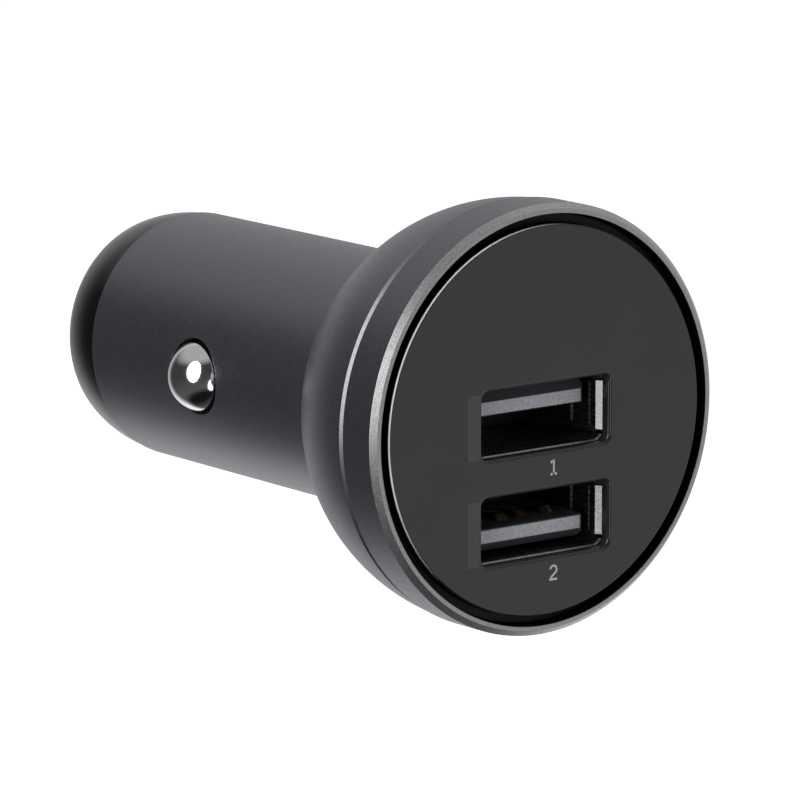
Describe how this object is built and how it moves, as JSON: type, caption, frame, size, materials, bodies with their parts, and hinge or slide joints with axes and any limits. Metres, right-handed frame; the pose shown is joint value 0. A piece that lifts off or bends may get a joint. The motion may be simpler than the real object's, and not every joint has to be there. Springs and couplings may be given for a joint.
{
  "type": "car usb charger plug",
  "caption": "Round-headed plug for a vehicle power socket, with a straight barrel, sprung side and tip contacts, and stacked USB-A ports in a smoked face.",
  "frame": {"origin": "on the plug's axis where the straight barrel leaves the shoulder of the head", "axes": "+Y along the barrel towards the tip, -Y out of the face, +Z from the lower port to the upper port"},
  "size_m": [0.034, 0.0587, 0.034],
  "materials": {
    "shell_metal": "fine matte dark grey coat",
    "bezel_metal": "fine matte dark grey coat with bare cut edges",
    "smoked_panel": "polished smoked black",
    "port_steel": "bright nickel-plated sheet",
    "port_insulator": "satin grey-blue moulding",
    "blade_gold": "gold-flashed blades",
    "contact_chrome": "polished",
    "spring_steel": "drawn wire",
    "strap_brass": "stamped sheet",
    "carrier_plastic": "moulded black",
    "nose_metal": "fine matte dark grey coat",
    "board_laminate": "solder-masked laminate",
    "ferrite": "pressed dark core",
    "copper_wire": "lacquered wire",
    "can_metal": "plain can",
    "chip_plastic": "moulded package"
  },
  "bodies": {
    "plug": {"barrel_housing": "shell_metal", "bezel_ring": "bezel_metal", "face_panel": "smoked_panel", "nose_cap": "nose_metal", "tip_spring": "spring_steel", "tip_terminal": "strap_brass", "side_spring_left": "spring_steel", "side_spring_right": "spring_steel", "contact_carrier": "carrier_plastic", "ground_strap": "strap_brass", "board_carrier": "carrier_plastic", "main_board": "board_laminate", "upper_port_shell": "port_steel", "lower_port_shell": "port_steel", "upper_port_tongue": "port_insulator", "lower_port_tongue": "port_insulator", "upper_port_contacts": "blade_gold", "lower_port_contacts": "blade_gold", "inductor_core": "ferrite", "inductor_winding": "copper_wire", "input_capacitor": "can_metal", "converter_chips": "chip_plastic"},
    "tip": {"tip_contact": "contact_chrome"},
    "left_contact": {"side_contact_left": "contact_chrome"},
    "right_contact": {"side_contact_right": "contact_chrome"}
  },
  "joints": [
    {"name": "tip_press", "type": "slide", "parent": "plug", "child": "tip", "axis": [0, -1, 0], "range_m": [0, 0.003], "stiffness_N_per_m": 900, "springref_m": -0.002, "deforming": ["tip_spring"]},
    {"name": "left_contact_press", "type": "slide", "parent": "plug", "child": "left_contact", "axis": [1, 0, 0], "range_m": [0, 0.002], "stiffness_N_per_m": 600, "springref_m": -0.0015, "deforming": ["side_spring_left"]},
    {"name": "right_contact_press", "type": "slide", "parent": "plug", "child": "right_contact", "axis": [-1, 0, 0], "range_m": [0, 0.002], "stiffness_N_per_m": 600, "springref_m": -0.0015, "deforming": ["side_spring_right"]}
  ]
}
